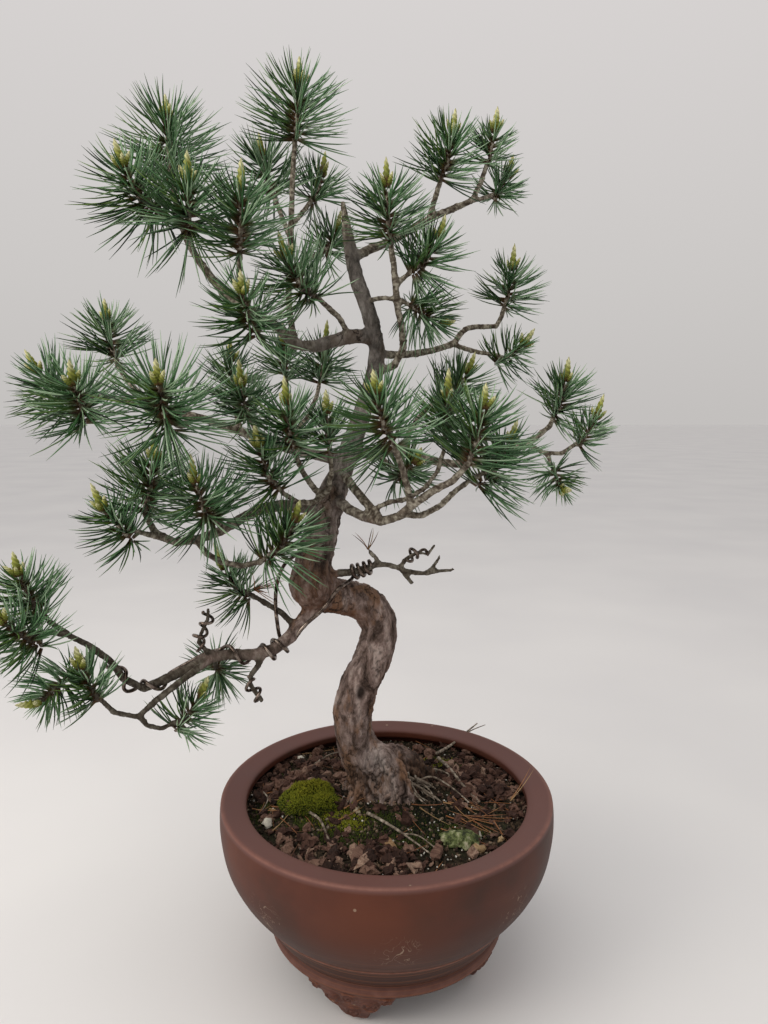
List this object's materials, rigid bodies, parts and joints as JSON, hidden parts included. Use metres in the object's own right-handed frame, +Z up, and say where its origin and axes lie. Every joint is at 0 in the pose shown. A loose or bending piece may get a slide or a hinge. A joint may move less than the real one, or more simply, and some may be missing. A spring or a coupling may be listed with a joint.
{
  "type": "bonsai tree in a pot",
  "caption": "Five-needle pine trained as a bonsai with an S-curved trunk, wired branches and needle tufts, in a round unglazed stoneware pot on carved feet.",
  "frame": {"origin": "middle of the bottom of the bounding box, level with the soles of the pot's feet", "axes": "+Z is up; +X is to the right and +Y is away from the viewer when the tree is seen from its front"},
  "size_m": [0.4148, 0.25, 0.6502],
  "materials": {
    "stoneware": "unglazed red-brown stoneware, matt, slightly burnished",
    "bark": "rough pine bark, grey-brown, ringed on the young branches",
    "needles": "waxy blue-green pine needles",
    "soil": "coarse fired clay and lava granules, matt",
    "moss": "dense soft yellow-green moss",
    "stone": "weathered green-grey stone",
    "wire": "brown anodised soft training wire, dull",
    "mesh_plastic": "moulded black plastic mesh"
  },
  "bodies": {
    "root": {"pot": "stoneware", "drain_mesh": "mesh_plastic", "drain_mesh_clip": "wire", "soil": "soil", "moss_mound": "moss", "flat_stone": "stone", "trunk": "bark", "branch_low_left": "bark", "branch_low_right_dead": "bark", "branch_mid_left": "bark", "branch_left_whorl": "bark", "branch_back_left": "bark", "branch_front_right": "bark", "branch_long_right": "bark", "branch_back_right": "bark", "branch_right_vertical": "bark", "branch_upper_right": "bark", "branch_upper_left": "bark", "needles_back_right": "needles", "needles_back_right_low": "needles", "needles_centre_rear": "needles", "needles_far_left": "needles", "needles_far_left_upper": "needles", "needles_far_right": "needles", "needles_far_right_side": "needles", "needles_front_centre": "needles", "needles_front_inner": "needles", "needles_front_right": "needles", "needles_leader": "needles", "needles_leader_side": "needles", "needles_left_big": "needles", "needles_left_rear": "needles", "needles_left_shoulder": "needles", "needles_low_inner": "needles", "needles_low_left_back": "needles", "needles_low_left_drop": "needles", "needles_low_left_front": "needles", "needles_low_left_tip": "needles", "needles_low_left_under": "needles", "needles_mid_left": "needles", "needles_mid_left_loop": "needles", "needles_mid_left_side": "needles", "needles_right_inner": "needles", "needles_right_short": "needles", "needles_right_vertical": "needles", "needles_right_vertical_side": "needles", "needles_shoulder": "needles", "needles_top_left": "needles", "needles_upper_centre": "needles", "needles_upper_rear": "needles", "needles_upper_right": "needles", "needles_upper_right_tip": "needles", "needles_whorl_left": "needles", "needles_whorl_low": "needles", "needles_whorl_upper": "needles", "wire_low_left": "wire", "wire_low_right": "wire", "wire_curl_left": "wire", "wire_hanging": "wire", "wire_curl_right": "wire"}
  },
  "joints": []
}
